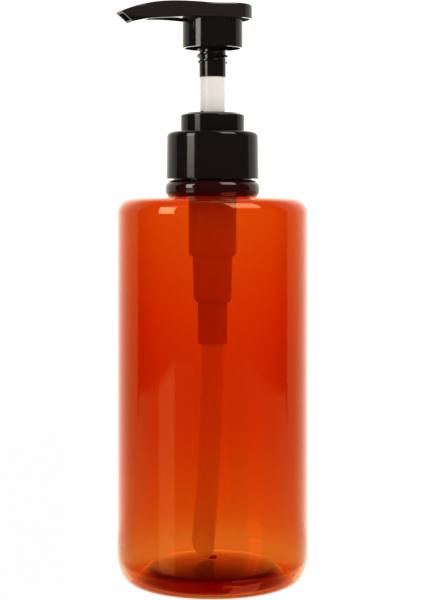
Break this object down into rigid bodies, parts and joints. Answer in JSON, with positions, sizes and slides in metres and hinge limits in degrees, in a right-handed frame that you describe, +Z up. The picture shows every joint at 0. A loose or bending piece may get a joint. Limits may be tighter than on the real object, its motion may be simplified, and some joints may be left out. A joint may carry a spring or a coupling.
{
  "type": "pump oil bottle",
  "caption": "Clear cylindrical bottle with a screw-on lock-down hand pump: press head with side spout, spring plunger, inlet valve and dip tube.",
  "frame": {"origin": "centre of the bottle's resting plane, on the pump axis", "axes": "+Z up the pump axis, spout pointing to -X"},
  "size_m": [0.0698, 0.0688, 0.2077],
  "materials": {
    "amber_bottle": "clear amber-red tint, glossy",
    "black_plastic": "glossy moulded black",
    "white_plastic": "satin white",
    "natural_plastic": "translucent natural",
    "gasket": "soft foamed white",
    "spring_steel": "drawn stainless wire",
    "ball_steel": "polished stainless"
  },
  "bodies": {
    "bottle": {"bottle": "amber_bottle"},
    "pump_core": {"pump_housing": "natural_plastic", "neck_gasket": "gasket", "locking_collar": "black_plastic", "valve_cage": "natural_plastic", "dip_tube": "natural_plastic"},
    "closure": {"closure": "black_plastic"},
    "spring_top": {"return_spring": "spring_steel"},
    "head": {"actuator_head": "black_plastic", "stem": "white_plastic", "stem_plug": "natural_plastic"},
    "piston": {"piston": "natural_plastic"},
    "inlet_ball": {"inlet_ball": "ball_steel"}
  },
  "joints": [
    {"name": "pump_lift", "type": "slide", "parent": "bottle", "child": "pump_core", "axis": [0, 0, 1], "range_m": [0, 0.00635]},
    {"name": "closure_unscrew", "type": "hinge", "parent": "pump_core", "child": "closure", "pos_m": [0, 0, 0.15], "axis": [0, 0, 1], "range_deg": [0, 540]},
    {"name": "press", "type": "slide", "parent": "pump_core", "child": "spring_top", "axis": [0, 0, -1], "range_m": [0, 0.0166], "deforming": ["return_spring"]},
    {"name": "head_swivel", "type": "hinge", "parent": "spring_top", "child": "head", "pos_m": [0, 0, 0.19], "axis": [0, 0, 1], "continuous": true},
    {"name": "outlet_valve", "type": "slide", "parent": "spring_top", "child": "piston", "axis": [0, 0, 1], "range_m": [0, 0.0012]},
    {"name": "inlet_valve", "type": "slide", "parent": "pump_core", "child": "inlet_ball", "axis": [0, 0, 1], "range_m": [0, 0.0011]}
  ],
  "couplings": [
    {"joint": "pump_lift", "follows": "closure_unscrew", "m_per_rad": 0.00067322}
  ]
}
